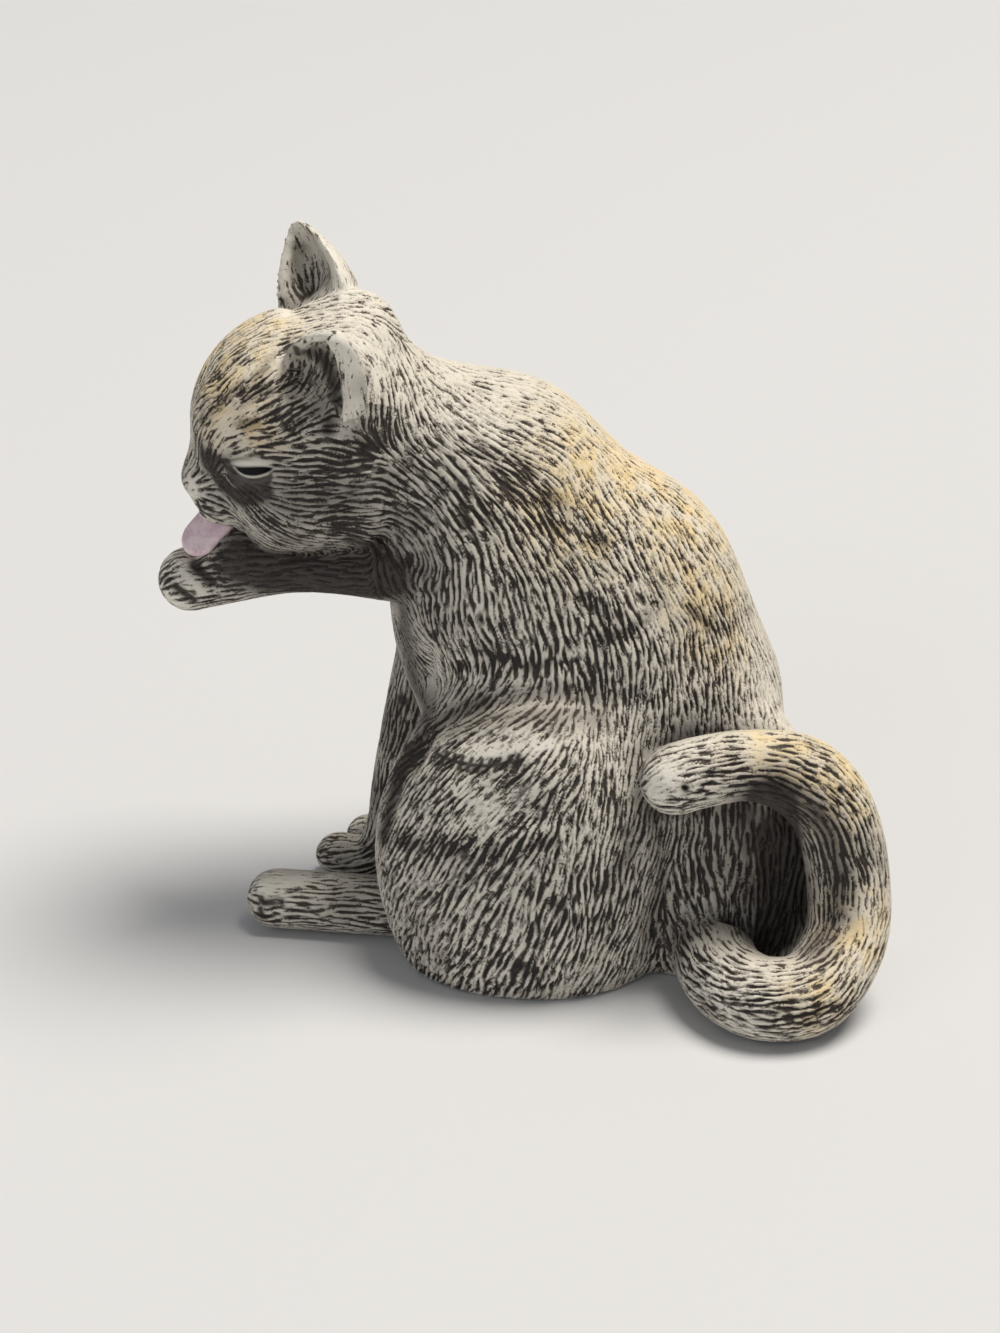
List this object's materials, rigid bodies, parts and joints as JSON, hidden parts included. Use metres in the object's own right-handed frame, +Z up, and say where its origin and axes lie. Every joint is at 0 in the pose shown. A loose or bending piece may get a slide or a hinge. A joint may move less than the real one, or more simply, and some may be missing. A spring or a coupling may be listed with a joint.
{
  "type": "cat figurine",
  "caption": "Small seated cat in antiqued cast stone, licking a raised forepaw with its tail curled up beside its hip.",
  "frame": {"origin": "on the flat face of the base, on the middle plane of the body, under the shoulders", "axes": "+Z up; -X the way the cat faces; -Y the cat's left, the side that the picture shows; +X towards the tail"},
  "size_m": [0.0815, 0.0537, 0.0786],
  "materials": {
    "cast_stone": "matt cast stone, ridges bone, dark wash in the fur strokes",
    "eye_paint": "stone painted black, satin",
    "tongue_paint": "stone painted dull pink"
  },
  "bodies": {
    "root": {"torso": "cast_stone", "head": "cast_stone", "left_ear": "cast_stone", "right_ear": "cast_stone", "raised_foreleg": "cast_stone", "standing_foreleg": "cast_stone", "left_hind_foot": "cast_stone", "right_hind_foot": "cast_stone", "tail": "cast_stone", "left_eye": "eye_paint", "right_eye": "eye_paint", "tongue": "tongue_paint"}
  },
  "joints": []
}
